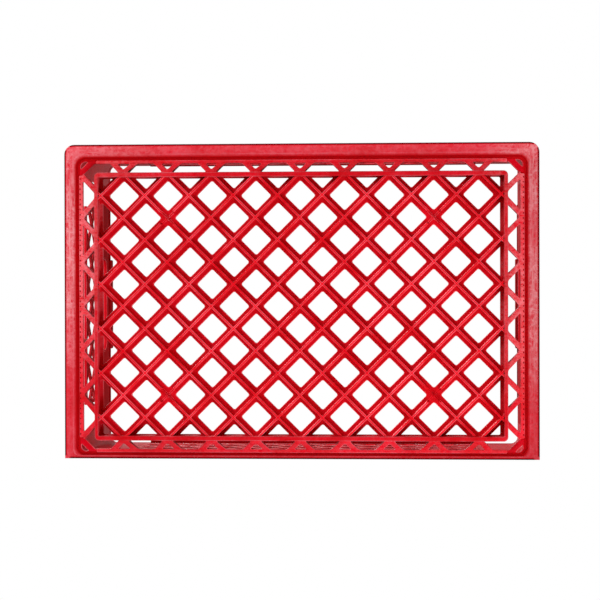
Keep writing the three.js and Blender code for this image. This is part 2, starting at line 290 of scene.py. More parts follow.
def add_ring(shape, corners, radii, centre=(0, 0), matrix=FLOOR_FRAME):
    """A closed ring from a section of (half_u, half_v, corner radius, depth) corners."""
    section, wear = soften(corners, radii)
    vertices = []
    exposed = []
    for (half_u, half_v, radius, depth), worn in zip(section, wear):
        for u, v in rounded_rectangle(half_u, half_v, radius):
            vertices.append((u + centre[0], v + centre[1], depth))
            exposed.append(worn)
    rows = len(section)
    columns = len(vertices) // rows
    faces = []
    for i in range(rows):
        for j in range(columns):
            here = i * columns
            there = (i + 1) % rows * columns
            k = (j + 1) % columns
            faces.append((here + j, here + k, there + k, there + j))
    shape.add(vertices, faces, exposed, matrix)


def plate_mesh(outline, holes, thickness, rounding):
    """A flat plate of the outline with holes, its edges rounded, as a bmesh from w = 0 up."""
    curve = bpy.data.curves.new("plate", "CURVE")
    curve.dimensions = "2D"
    curve.fill_mode = "BOTH"
    curve.extrude = thickness / 2 - rounding
    curve.bevel_depth = rounding
    curve.bevel_resolution = 2
    curve.offset = -rounding
    for loop in [outline, *holes]:
        spline = curve.splines.new("POLY")
        spline.points.add(len(loop) - 1)
        for point, (u, v) in zip(spline.points, loop):
            point.co = (u, v, 0, 1)
        spline.use_cyclic_u = True
    holder = bpy.data.objects.new("plate", curve)
    mesh = bpy.data.meshes.new_from_object(holder)
    bm = bmesh.new()
    bm.from_mesh(mesh)
    bmesh.ops.remove_doubles(bm, verts=bm.verts, dist=1e-6)
    bmesh.ops.translate(bm, verts=bm.verts, vec=(0, 0, thickness / 2))
    bpy.data.objects.remove(holder)
    bpy.data.curves.remove(curve)
    bpy.data.meshes.remove(mesh)
    return bm


def add_bmesh(shape, bm, exposed, matrix=FLOOR_FRAME):
    bm.verts.index_update()
    vertices = [tuple(vert.co) for vert in bm.verts]
    faces = [[vert.index for vert in face.verts] for face in bm.faces]
    shape.add(vertices, faces, exposed, matrix)
    bm.free()


def add_plate(shape, outline, holes, depths, rounding, matrix=FLOOR_FRAME):
    low, high = depths
    bm = plate_mesh(outline, holes, high - low, rounding)
    exposed = []
    for vert in bm.verts:
        edge = min(vert.co.z, high - low - vert.co.z) / rounding
        exposed.append(1.0 if 0.02 < edge < 0.98 else 0.0)
        vert.co.z += low
    add_bmesh(shape, bm, exposed, matrix)


def add_block(shape, low, high, rounding, matrix=FLOOR_FRAME):
    """A bar with rounded edges between two corners."""
    u = (low[0], high[0])
    v = (low[1], high[1])
    outline = [(u[0], v[0]), (u[1], v[0]), (u[1], v[1]), (u[0], v[1])]
    outline = rounded_outline(outline, rounding * 1.5, 3)
    add_plate(shape, outline, [], (low[2], high[2]), rounding, matrix)


def clip(bm, planes):
    """Cuts away what lies beyond each (axis, sign, place) plane, and closes the cuts."""
    for axis, sign, place in planes:
        point = Vector((0, 0, 0))
        normal = Vector((0, 0, 0))
        point[axis] = place
        normal[axis] = sign
        geometry = [*bm.verts, *bm.edges, *bm.faces]
        cut = bmesh.ops.bisect_plane(
            bm, geom=geometry, dist=1e-7, plane_co=point, plane_no=normal, clear_outer=True
        )
        edges = [e for e in cut["geom_cut"] if isinstance(e, bmesh.types.BMEdge)]
        bmesh.ops.holes_fill(bm, edges=edges, sides=0)


def add_strip(shape, columns, wear):
    """Faces between each column of section points and the next."""
    rows = len(wear)
    vertices = [point for column in columns for point in column]
    faces = []
    for j in range(len(columns) - 1):
        for i in range(rows - 1):
            here = j * rows + i
            faces.append((here, here + 1, here + rows + 1, here + rows))
    shape.add(vertices, faces, wear * len(columns))


def fillet_columns(node, arm, side, section, fillet):
    """The curved side between two ribs that cross at a node."""
    across, depth = section.T
    columns = []
    for phi in np.linspace(0, math.pi / 2, 5):
        a = across + fillet * (1 - math.sin(phi))
        b = across + fillet * (1 - math.cos(phi))
        plan = node + np.outer(a, arm) + np.outer(b, side)
        columns.append(np.column_stack((plan, depth)))
    return columns


def rib_columns(node, arm, side, section, places):
    """One side of a rib, from the fillets at a node to those at the next."""
    across, depth = section.T
    columns = []
    for place in places:
        plan = node + np.outer(place, arm) + np.outer(across, side)
        columns.append(np.column_stack((plan, depth)))
    return columns


def welded(shape):
    """The shape as a bmesh with its seams closed and its exposure kept in a layer."""
    bm = bmesh.new()
    layer = bm.verts.layers.float.new("exposed")
    for vertex, worn in zip(shape.vertices, shape.exposed):
        bm.verts.new(vertex)[layer] = worn
    bm.verts.ensure_lookup_table()
    for face in shape.faces:
        bm.faces.new([bm.verts[k] for k in face])
    bmesh.ops.remove_doubles(bm, verts=bm.verts, dist=2e-6)
    return bm


def lattice_mesh(half_columns, half_rows, profile, radii, edge_fillet, stations, reshape=None):
    """Ribs at 45 degrees through a grid of nodes, filleted where they cross, as a bmesh.

    The profile is half a rib's section, from its back to its front: (from the middle, depth).
    Stations are extra cuts across each rib, as distances from its node, for reshape to bend.
    """
    section, wear = soften([*profile, (-0.02, profile[0][1])], [*radii, 0])
    section, wear = section[:-1], wear[:-1]
    across = section[:, 0]
    fillet = edge_fillet * across / across.max()
    ends = across + fillet
    places = [ends, *(np.maximum(ends, station) for station in stations)]
    places += [PITCH / math.sqrt(2) - place for place in reversed(places)]
    shape = Shape()
    for i in range(-half_columns, half_columns + 1):
        for j in range(-half_rows, half_rows + 1):
            if (i + j) % 2:
                continue
            node = np.array((i * PITCH / 2, j * PITCH / 2))
            for quarter in range(4):
                angle = math.pi / 4 + quarter * math.pi / 2
                arm = np.array((math.cos(angle), math.sin(angle)))
                side = np.array((-arm[1], arm[0]))
                add_strip(shape, fillet_columns(node, arm, side, section, fillet), wear)
                if quarter > 1:
                    continue
                for hand in (1, -1):
                    add_strip(shape, rib_columns(node, arm, side * hand, section, places), wear)
    if reshape:
        shape.vertices = [reshape(*vertex) for vertex in shape.vertices]
    return welded(shape)


def add_lattice(shape, bm, planes, matrix=FLOOR_FRAME, shift=(0, 0, 0)):
    clip(bm, planes)
    bmesh.ops.translate(bm, verts=bm.verts, vec=shift)
    layer = bm.verts.layers.float["exposed"]
    exposed = [vert[layer] for vert in bm.verts]
    add_bmesh(shape, bm, exposed, matrix)


def lean_back(vertices):
    """Sets the foot of the back wall in and squares its corners, fading to nothing at the rim."""
    x, y, z = np.array(vertices, float).T
    share = np.clip((RIM_BOTTOM - z) / (RIM_BOTTOM - LEDGE_Z), 0, 1) * (y > LEAN_START)
    across = np.clip(np.abs(x) - HALF_LENGTH + CORNER_RADIUS, 0, None)
    out = np.clip(y - HALF_WIDTH + CORNER_RADIUS, 0, None)
    longest = np.maximum(np.maximum(across, out), 1e-9)
    square = np.where(np.minimum(across, out) > 0, np.hypot(across, out) / longest - 1, 0)
    y = y + out * share * square
    moved = np.clip((y - LEAN_START) / (HALF_WIDTH - WALL - LEAN_START), 0, 1)
    x = x + np.sign(x) * across * share * square
    return np.column_stack((x, y - share * moved * FOOT_INSET, z))


def inset_of(vertex):
    """How far a point lies inside the nearest outer face."""
    return min(HALF_LENGTH - abs(vertex[0]), HALF_WIDTH - abs(vertex[1]))


def paint_inside_shade(shape):
    """Paints shade on the plain inner faces of a wall, which also makes them matt."""
    for i, vertex in enumerate(shape.vertices):
        if vertex[2] > FLOOR_Z and inset_of(vertex) > RIB_SIDES[1] and not shape.exposed[i]:
            shape.exposed[i] = INSIDE_SHADE


def make_piece(name, shape, material, nodes):
    mesh = bpy.data.meshes.new(name)
    mesh.from_pydata(lean_back(shape.vertices).tolist(), [], shape.faces)
    mesh.attributes.new("exposed", "FLOAT", "POINT").data.foreach_set("value", shape.exposed)
    bm = bmesh.new()
    bm.from_mesh(mesh)
    bmesh.ops.remove_doubles(bm, verts=bm.verts, dist=1e-6)
    bmesh.ops.dissolve_degenerate(bm, edges=bm.edges, dist=1e-6)
    bmesh.ops.recalc_face_normals(bm, faces=bm.faces)
    bm.to_mesh(mesh)
    bm.free()
    mesh.shade_smooth()
    mesh.set_sharp_from_angle(angle=math.radians(35))
    mesh.materials.append(material)
    piece = bpy.data.objects.new(name, mesh)
    bpy.context.scene.collection.objects.link(piece)
    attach(piece, "root")
    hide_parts(*nodes)


def node_names(*starts):
    return [name for name in sorted(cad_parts) if name.startswith(starts)]


# ---- Materials --------------------------------------------------------------


def add_node(tree, kind, inputs=(), **settings):
    node = tree.nodes.new(kind)
    for key, value in settings.items():
        setattr(node, key, value)
    for key, value in dict(inputs).items():
        if isinstance(value, bpy.types.NodeSocket):
            tree.links.new(value, node.inputs[key])
        else:
            node.inputs[key].default_value = value
    return node


def noise(tree, vector, scale, detail, roughness=0.5, distortion=0.0):
    values = {
        "Vector": vector,
        "Scale": scale,
        "Detail": detail,
        "Roughness": roughness,
        "Distortion": distortion,
    }
    return add_node(tree, "ShaderNodeTexNoise", values).outputs["Fac"]


def stretched(tree, vector, scale):
    return add_node(tree, "ShaderNodeMapping", {"Vector": vector, "Scale": scale}).outputs[0]


def between(tree, value, low, high, to_low=0.0, to_high=1.0):
    values = {
        "Value": value,
        "From Min": low,
        "From Max": high,
        "To Min": to_low,
        "To Max": to_high,
    }
    return add_node(tree, "ShaderNodeMapRange", values).outputs[0]


def math_node(tree, operation, a, b):
    node = add_node(tree, "ShaderNodeMath", {0: a, 1: b}, operation=operation, use_clamp=True)
    return node.outputs[0]


def mixed(tree, factor, a, b):
    node = add_node(tree, "ShaderNodeMix", {0: factor, 6: a, 7: b}, data_type="RGBA")
    return node.outputs[2]


def pale_places(tree, place):
    """How near a point is to the palest places, of wear and painted sheen, from 0 to 1."""
    total = 0.0
    for x, y, reach in PALE_PLACES:
        away = add_node(
            tree,
            "ShaderNodeVectorMath",
            {0: place, 1: (x, y, LEDGE_Z)},
            operation="DISTANCE",
        ).outputs["Value"]
        near = between(tree, away, reach, reach * 0.25)
        total = math_node(tree, "MAXIMUM", total, near)
    return total


def streaks(tree, place):
    """Fine brush marks that run along each side of the crate."""
    along_x = noise(tree, stretched(tree, place, (45, 700, 300)), 1, 4, 0.65, 0.3)
    along_y = noise(tree, stretched(tree, place, (700, 45, 300)), 1, 4, 0.65, 0.3)
    x = add_node(tree, "ShaderNodeSeparateXYZ", {0: place}).outputs["X"]
    away = add_node(tree, "ShaderNodeMath", {0: x}, operation="ABSOLUTE").outputs[0]
    at_end = between(tree, away, STRIP_INNER[0], STRIP_OUTER[0] + 0.004)
    return mixed(tree, at_end, along_x, along_y)


def hazed(tree, place, colour, clouds, mottle, haze, even, pink, scuff_and_sheen):
    """Adds a pink haze of wear, and pale scuffs, both strongest at the palest places, partly painted
    sheen.
    """
    near_pale = pale_places(tree, place)
    height = add_node(tree, "ShaderNodeSeparateXYZ", {0: place}).outputs["Z"]
    under = between(tree, height, 0.010, 0.022, 1, 0.35)
    wear = between(tree, clouds, 0.36, 0.64, even * haze, haze)
    wear = math_node(tree, "ADD", wear, between(tree, near_pale, 0, 1, 0, haze))
    patchy = between(tree, mottle, 0.40, 0.58, even, 1)
    wear = math_node(tree, "MULTIPLY", wear, under)
    colour = mixed(tree, math_node(tree, "MULTIPLY", wear, patchy), colour, pink)
    brushed = between(tree, streaks(tree, place), 0.42, 0.66)
    pale = math_node(tree, "MULTIPLY", math_node(tree, "MAXIMUM", near_pale, 0.12), haze)
    pale = math_node(tree, "MULTIPLY", pale, under)
    blotch = between(tree, mottle, 0.42, 0.62)
    marks = math_node(tree, "MAXIMUM", blotch, brushed)
    return mixed(tree, math_node(tree, "MULTIPLY", marks, pale), colour, scuff_and_sheen)


def edge_marked(tree, edge, colour, clouds, speckle, edge_pink):
    """Adds pale edges of wear and painted highlight, and the mostly painted shade of negative
    exposure.
    """
    exposed = between(tree, edge, 0, 1)
    shaded = between(tree, edge, 0, -0.6)
    deep_shaded = between(tree, edge, -0.65, -1)
    # Pale edges are partly wear and partly painted highlight.
    pale_edge = math_node(tree, "MULTIPLY", between(tree, speckle, 0.30, 0.60, 0.35, 1), exposed)
    patches = between(tree, clouds, 0.40, 0.60, 0.10, 1)
    pale_edge = math_node(tree, "MULTIPLY", pale_edge, patches)
    colour = mixed(tree, math_node(tree, "MULTIPLY", pale_edge, EDGE_WEAR_AND_HIGHLIGHT), colour, edge_pink)
    colour = mixed(tree, shaded, colour, (*SHADE_RED, 1))
    return mixed(tree, deep_shaded, colour, (*DEEP_SHADE, 1))


def moulded_plastic(name, shade, haze, even, roughness):
    """Red moulded plastic: flow marks, pale edges and scuffs of wear and painted light, painted
    shade.

    Shade multiplies all its colours but those of painted shade. Haze is how worn the plastic
    is at its palest, and even is the worn share of its least worn parts.
    """
    material = bpy.data.materials.new(name)
    material.use_nodes = True
    tree = material.node_tree
    shader = tree.nodes["Principled BSDF"]
    place = add_node(tree, "ShaderNodeTexCoord").outputs["Object"]
    edge = add_node(tree, "ShaderNodeAttribute", attribute_name="exposed").outputs["Fac"]
    deep, bright, flow_red, pink, scuff_and_sheen, edge_pink = (
        (*(shade * channel for channel in colour), 1)
        for colour in (DEEP_RED, BRIGHT_RED, FLOW_RED, RUBBED_PINK, SCUFF_AND_SHEEN_PINK, EDGE_PINK)
    )

    clouds = noise(tree, place, 22, 5, 0.6, 0.6)
    flow = noise(tree, stretched(tree, place, (40, 160, 160)), 1, 5, 0.6, 1.4)
    mottle = noise(tree, place, 190, 6, 0.75, 0.5)
    speckle = noise(tree, place, 700, 3, 0.7)

    colour = mixed(tree, between(tree, clouds, 0.35, 0.68), deep, bright)
    colour = mixed(tree, between(tree, flow, 0.52, 0.75, 0, 0.4), colour, flow_red)
    if haze:
        colour = hazed(tree, place, colour, clouds, mottle, haze, even, pink, scuff_and_sheen)
    colour = edge_marked(tree, edge, colour, clouds, speckle, edge_pink)

    relief = math_node(tree, "MULTIPLY", flow, 0.6)
    relief = math_node(tree, "ADD", relief, math_node(tree, "MULTIPLY", mottle, 0.3))
    bump = add_node(
        tree, "ShaderNodeBump", {"Height": relief, "Strength": 0.5, "Distance": 0.0006}
    )
    rough = between(tree, speckle, 0.3, 0.7, roughness - 0.06, roughness + 0.10)
    rough = math_node(tree, "ADD", rough, between(tree, edge, 0, -0.3, 0, DULLNESS))
    tree.links.new(colour, shader.inputs["Base Color"])
    tree.links.new(bump.outputs[0], shader.inputs["Normal"])
    tree.links.new(rough, shader.inputs["Roughness"])
    shader.inputs["Specular IOR Level"].default_value = SPECULAR
    return material


plastic = moulded_plastic("crate_plastic_moulded", shade=1.0, haze=0.0, even=0.0, roughness=0.36)
rubbed = moulded_plastic("worn_plastic_light", shade=0.79, haze=0.28, even=0.0, roughness=0.40)
# The gussets' copy is darker, as painted shade on their recessed faces.
flat = moulded_plastic("crate_plastic_shaded", shade=0.80, haze=0.0, even=0.0, roughness=0.40)
# The struts' copy is brighter than the ring's, as painted light on their sloping faces.
mottled = moulded_plastic("worn_plastic_mottled", shade=1.0, haze=0.46, even=0.0, roughness=0.40)
worn = moulded_plastic("worn_plastic_rubbed", shade=0.76, haze=0.95, even=0.42, roughness=0.48)


# ---- Floor ------------------------------------------------------------------


def melt_gates(x, y, z):
    """Flattens the ridges round the points where the plastic was fed into the mould."""
    if z > FLANGE_Z - 0.0003:
        return x, y, z
    for gate_x, gate_y in GATES:
        away = math.hypot(x - gate_x, y - gate_y)
        near = min(max((GATE_REACH * 1.06 - away) / (GATE_REACH * 0.16), 0), 1)
        z += (FLANGE_Z - 0.0004 - z) * near * near * (3 - 2 * near)
    return x, y, z


def gate_scar(shape, centre, turn):
    """The low torn mound that the feed leaves at a gate."""
    rings = 5
    sides = 20
    vertices = []
    exposed = []
    for i in range(rings + 1):
        share = i / rings
        for k in range(sides):
            angle = turn + k * 2 * math.pi / sides
            lump = 0.25 * math.sin(3 * angle + 5 * share) + 0.20 * math.sin(5 * angle - 7 * share)
            radius = GATE_SCAR * share * (1 + 0.5 * lump)
            rise = (1 - share * share) * (0.75 + 0.5 * lump)
            vertices.append((
                centre[0] + radius * math.cos(angle),
                centre[1] + radius * math.sin(angle),
                FLANGE_Z + 0.0003 - GATE_SCAR_HEIGHT * rise,
            ))
            exposed.append(min(max(lump * 2.5, 0), 1))
    faces = [tuple(range(rings * sides, (rings + 1) * sides))]
    for i in range(rings):
        for k in range(sides):
            here = i * sides
            after = (k + 1) % sides
            faces.append((here + k, here + after, here + sides + after, here + sides + k))
    shape.add(vertices, faces, exposed)


def floor_lattice():
    half_rib = RIB_WIDTH / 2
    half_ridge = RIDGE_WIDTH / 2
    profile = [
        (0, FLOOR_Z),
        (half_rib, FLOOR_Z),
        (half_rib, FLANGE_Z),
        (half_ridge + 0.0002, FLANGE_Z - 0.0002),
        (half_ridge, RIDGE_Z),
        (0, RIDGE_Z),
    ]
    radii = [0, 0.0008, 0.0007, 0.0006, 0.0006, 0]
    bm = lattice_mesh(10, 6, profile, radii, RIB_FILLET, GATE_STATIONS, melt_gates)
    edge_x = RING_INNER[0] + 2 * OVERLAP
    edge_y = RING_INNER[1] + 2 * OVERLAP
    planes = [(0, 1, edge_x), (0, -1, -edge_x), (1, 1, edge_y), (1, -1, -edge_y)]
    shape = Shape()
    add_lattice(shape, bm, planes)
    # Ridge faces are made a little pale, partly as wear and partly as painted highlight.
    for i, (_, _, z) in enumerate(shape.vertices):
        if z < RIDGE_Z + 0.0008:
            shape.exposed[i] = max(shape.exposed[i], RIDGE_WEAR_AND_HIGHLIGHT)
        # Flanges beside the ridges get painted shade.
        elif z < FLANGE_Z + 0.0010:
            shape.exposed[i] += FLANGE_SHADE
    for number, gate in enumerate(GATES):
        gate_scar(shape, gate, 1.3 * number)
    make_piece("floor_lattice", shape, plastic, node_names("floor_grid"))


def stacking_ring():
    outer, inner, flange = RING_OUTER, RING_INNER, RING_FLANGE
    top = FLOOR_Z - HAIR
    under = FLANGE_Z + HAIR
    corners = [
        (*outer, 0.0045, top),
        (*outer, 0.0045, 0),
        (inner[0] + 0.0003, inner[1] + 0.0003, 0.0008, 0),
        (*inner, 0.0005, under),
        (*flange, 0.0015, under),
        (*flange, 0.0015, top),
    ]
    shape = Shape()
    add_ring(shape, corners, [0.0006, 0.0013, 0.0007, 0.0005, 0.0006, 0.0006])
    make_piece("stacking_ring", shape, rubbed, node_names("stacking_ring"))


def edge_holes(nodes, node_v, ring_v, strip_v):
    """The openings between the V struts, in u along the side and v outwards."""
    side = STRUT_WIDTH / math.sqrt(2)
    low = max(ring_v, node_v + side)
    holes = []
    for u in nodes:
        half_low = low - node_v - side
        half_high = strip_v - node_v - side
        hole = [(u - half_high, strip_v), (u + half_high, strip_v), (u + half_low, low)]
        if half_low > 1e-6:
            hole.append((u - half_low, low))
        holes.append(hole)
    for u in nodes[:-1]:
        middle = u + PITCH / 2
        half_low = PITCH / 2 - (ring_v - node_v) - side
        half_high = PITCH / 2 - (strip_v - node_v) - side
        hole = [(middle - half_low, ring_v), (middle + half_low, ring_v)]
        if half_high > 0:
            hole += [(middle + half_high, strip_v), (middle - half_high, strip_v)]
        else:
            hole.append((middle, node_v + PITCH / 2 - side))
        holes.append(hole)
    return [rounded_outline(hole, 0.0022) for hole in holes]


def strip_teeth(shape, half, strip_v, matrix):
    """The small even teeth along a short side's strip, painted dark as the shade of notches."""
    count = math.floor(half / TOOTH_PITCH)
    for k in range(-count, count + 1):
        u = k * TOOTH_PITCH
        first = len(shape.exposed)
        low = (u - TOOTH_WIDTH / 2, strip_v + 0.0024, STRIP_Z - 0.0004)
        high = (u + TOOTH_WIDTH / 2, strip_v + 0.0035, STRIP_Z + 0.0010)
        add_block(shape, low, high, 0.0003, matrix)
        shape.exposed[first:] = [TOOTH_SHADE] * (len(shape.exposed) - first)


def slope_struts(bm, ring_v, strip_v, thickness, rounding):
    """Slopes a floor edge's underside from the ring back to the strip; returns its exposure."""
    exposed = []
    for vert in bm.verts:
        height = vert.co.z
        # Backs are made darker and matt; rounded edges pale, partly wear and partly painted
        # highlight.
        if height > thickness / 2:
            exposed.append(STRUT_BACK_DARKENING)
        else:
            exposed.append(STRUT_WEAR_AND_HIGHLIGHT if 0.02 < height / rounding < 0.98 else 0.0)
        slope = min(max((strip_v - vert.co.y) / (strip_v - ring_v), 0), 1)
        share = min(max((thickness - height) / thickness, 0), 1)
        vert.co.z += STRIP_Z - slope * share * (STRIP_Z - 0.0008)
    return exposed


def floor_edge(side, count, node_v, ring_v, strip, end):
    """The struts of one side and the strip they carry, sloping back from the ring."""
    strip_v, outer_v = strip
    nodes = [(i - (count - 1) / 2) * PITCH for i in range(count)]
    reach = STRUT_WIDTH / math.sqrt(2) - node_v
    root = ring_v - 2 * OVERLAP
    outline = [
        (nodes[-1] + reach + root, root),
        (nodes[-1] + reach + strip_v, strip_v),
        (end, strip_v),
        (end, outer_v),
    ]
    outline += [(-u, v) for u, v in reversed(outline)]
    outline = rounded_outline(outline, 0.0012)
    thickness = FLOOR_Z - STRIP_Z
    rounding = 0.0007
    bm = plate_mesh(outline, edge_holes(nodes, node_v, ring_v, strip_v), thickness, rounding)
    for place in (ring_v, strip_v):
        geometry = [*bm.verts, *bm.edges, *bm.faces]
        bmesh.ops.bisect_plane(
            bm, geom=geometry, dist=1e-7, plane_co=(0, place, 0), plane_no=(0, 1, 0)
        )
    exposed = slope_struts(bm, ring_v, strip_v, thickness, rounding)
    matrix = np.eye(4)
    quarter = {"back": 0, "left": 1, "front": 2, "right": 3}[side]
    angle = quarter * math.pi / 2
    matrix[:2, :2] = [[math.cos(angle), -math.sin(angle)], [math.sin(angle), math.cos(angle)]]
    shape = Shape()
    add_bmesh(shape, bm, exposed, matrix)
    if side in ("left", "right"):
        strip_teeth(shape, nodes[-1] + PITCH / 2, strip_v, matrix)
    make_piece(f"floor_edge_{side}", shape, mottled, [f"floor_edge_{side}"])


def floor_edges():
    long_strip = (STRIP_INNER[1], STRIP_OUTER[1])
    short_strip = (STRIP_INNER[0], STRIP_OUTER[0])
    for side in ("front", "back"):
        floor_edge(side, 9, 3 * PITCH, RING_OUTER[1], long_strip, STRIP_END[0])
    for side in ("left", "right"):
        floor_edge(side, 6, 4.5 * PITCH, RING_OUTER[0], short_strip, STRIP_END[1])


def corner_gusset(corner, sign_x, sign_y):
    centre = GUSSET_CENTRE
    end_x, end_y = GUSSET_END
    inner_x = STRIP_INNER[0] + HAIR
    inner_y = STRIP_INNER[1] + HAIR
    past_x = GROOVE_OUTER[0] - 0.0008
    past_y = GROOVE_OUTER[1] - 0.0008
    outline = [(end_x, past_y), (end_x, inner_y), (GUSSET_LINE - inner_y, inner_y)]
    outline += [(inner_x, GUSSET_LINE - inner_x), (inner_x, end_y), (past_x, end_y)]
    for k in range(9):
        angle = k / 8 * math.pi / 2
        u = centre[0] + (past_x - centre[0]) * math.cos(angle)
        v = centre[1] + (past_y - centre[1]) * math.sin(angle)
        outline.append((u, v))
    hole = []
    for k in range(13):
        angle = -math.pi / 9 + k / 12 * (math.pi / 2 + 2 * math.pi / 9)
        u = centre[0] + GUSSET_HOLE_RADIUS * math.cos(angle)
        v = centre[1] + GUSSET_HOLE_RADIUS * math.sin(angle)
        hole.append((u, v))
    matrix = np.diag((sign_x, sign_y, 1, 1)).astype(float)
    shape = Shape()
    depths = (GROOVE_Z + HAIR, FLOOR_Z - HAIR)
    add_plate(shape, outline, [rounded_outline(hole, 0.0006, 2)], depths, 0.0006, matrix)
    make_piece(f"corner_gusset_{corner}", shape, flat, [f"corner_gusset_{corner}"])


def base_band():
    """The ledge under the wall, the groove inside it and the solid foot of the wall."""
    outer = (HALF_LENGTH, HALF_WIDTH)
    inside = (HALF_LENGTH - WALL, HALF_WIDTH - WALL)
    bevel = (GROOVE_OUTER[0] + 0.0032, GROOVE_OUTER[1] + 0.0030)
    groove = (GROOVE_OUTER[0] - 0.0006, GROOVE_OUTER[1] - 0.0006)
    foot = (STRIP_OUTER[0] - 0.0008, STRIP_OUTER[1] - 0.0008)
    corners = [
        (*outer, CORNER_RADIUS, BAND_TOP),
        (*outer, CORNER_RADIUS, LEDGE_Z + 0.004),
        (*outer, CORNER_RADIUS, LEDGE_Z),
        (outer[0] - 0.0026, outer[1] - 0.0026, CORNER_RADIUS - 0.0026, LEDGE_Z),
        (*bevel, 0.0105, LEDGE_Z),
        (*GROOVE_OUTER, 0.0095, LEDGE_Z + 0.0007),
        (*groove, 0.0090, GROOVE_Z),
        (*foot, 0.0062, GROOVE_Z),
        (*foot, 0.0062, FLOOR_Z),
        (*inside, CORNER_RADIUS - WALL, FLOOR_Z),
        (*inside, CORNER_RADIUS - WALL, BAND_TOP),
    ]
    radii = [0.0008, 0, 0.0018, 0, 0.0010, 0.0005, 0.0006, 0, 0.0005, 0.0015, 0.0008]
    shape = Shape()
    add_ring(shape, corners, radii)
    # Painted shade: a dark line along the outer edge's rounding, and in the groove; bevel edges are
    # made less pale.
    for i, (x, y, z) in enumerate(shape.vertices):
        if inset_of((x, y)) < 0.0020:
            if z < LEDGE_Z + 0.0035:
                shape.exposed[i] = OUTER_EDGE_SHADE
        elif z > LEDGE_Z + 0.0003:
            shape.exposed[i] = GROOVE_SHADE if z < GROOVE_Z + HAIR else 0.0
        else:
            shape.exposed[i] *= 0.4
    nodes = node_names("base_ledge", "lower_band")
    make_piece("base_band", shape, worn, nodes)


# ---- Walls ------------------------------------------------------------------


def corner_post(corner, sign_x, sign_y):
    outer_arc = []
    inner_arc = []
    centre = (HALF_LENGTH - CORNER_RADIUS, HALF_WIDTH - CORNER_RADIUS)
    for k in range(9):
        angle = k / 8 * math.pi / 2
        for arc, radius in ((outer_arc, CORNER_RADIUS), (inner_arc, CORNER_RADIUS - WALL)):
            u = centre[0] + radius * math.cos(angle)
            v = centre[1] + radius * math.sin(angle)
            arc.append((u, v))
    split_x = POST_SPLIT[0] + 2 * HAIR
    split_y = POST_SPLIT[1] + 2 * HAIR
    outline = [(HALF_LENGTH, split_y), *outer_arc, (split_x, HALF_WIDTH)]
    outline += [(split_x, HALF_WIDTH - WALL), *inner_arc[::-1], (HALF_LENGTH - WALL, split_y)]
    matrix = np.diag((sign_x, sign_y, 1, 1)).astype(float)
    shape = Shape()
    depths = (BAND_TOP - 2 * OVERLAP, RIM_BOTTOM + 2 * OVERLAP)
    add_plate(shape, outline, [], depths, 0.0006, matrix)
    make_piece(f"corner_post_{corner}", shape, plastic, [f"corner_post_{corner}"])


def wall_lattice(side, half, bottom, top):
    radii = [0, 0.0005, 0.0005, 0.0003, 0.0004, 0]
    middle = (bottom + top) / 2
    rise = (top - bottom) / 2
    columns = 2 * math.ceil(half / PITCH) + 2
    rows = 2 * math.ceil(rise / PITCH) + 2
    bm = lattice_mesh(columns, rows, WALL_RIB_PROFILE, radii, WALL_RIB_FILLET, ())
    edge_u = half - RAIL / 2
    edge_v = rise - RAIL / 2
    planes = [(0, 1, edge_u), (0, -1, -edge_u), (1, 1, edge_v), (1, -1, -edge_v)]
    matrix = wall_frame(side)
    shape = Shape()
    add_lattice(shape, bm, planes, matrix, (0, middle, 0))
    # The sides of the ribs get painted shade, darkest on the back wall.
    for i, vertex in enumerate(shape.vertices):
        if RIB_SIDES[0] < inset_of(vertex) < RIB_SIDES[1]:
            shape.exposed[i] = WALL_RIB_SHADE[side]
    outline = [(-half, bottom), (half, bottom), (half, top), (-half, top)]
    opening = [(u * (1 - RAIL / half), middle + (v - middle) * (1 - RAIL / rise)) for u, v in outline]
    opening = rounded_outline(opening, 0.003)
    depths = (0, WALL)
    add_plate(shape, rounded_outline(outline, 0.001), [opening], depths, 0.0006, matrix)
    if side in ("front", "back"):
        add_webs(shape, matrix)
    else:
        paint_inside_shade(shape)
    make_piece(f"wall_lattice_{side}", shape, plastic, [f"wall_lattice_{side}"])


def add_webs(shape, matrix):
    """The plain webs between a long wall's lattice and its corner posts."""
    for sign in (-1, 1):
        ends = sorted((sign * (LONG_PANEL_HALF - OVERLAP), sign * (POST_SPLIT[0] + OVERLAP)))
        low = (ends[0], BAND_TOP - OVERLAP, 4 * HAIR)
        high = (ends[1], WEB_TOP, WALL - 2 * HAIR)
        add_block(shape, low, high, 0.0008, matrix)


def slot_posts(side):
    matrix = wall_frame(side)
    for number, u in enumerate(SLOT_POSTS, 1):
        shape = Shape()
        low = (u - SLOT_POST_WIDTH / 2, BAND_TOP - OVERLAP, 0)
        high = (u + SLOT_POST_WIDTH / 2, PANEL_BOTTOM + OVERLAP, WALL)
        add_block(shape, low, high, 0.0007, matrix)
        make_piece(f"slot_post_{side}_{number}", shape, plastic, [f"slot_post_{side}_{number}"])


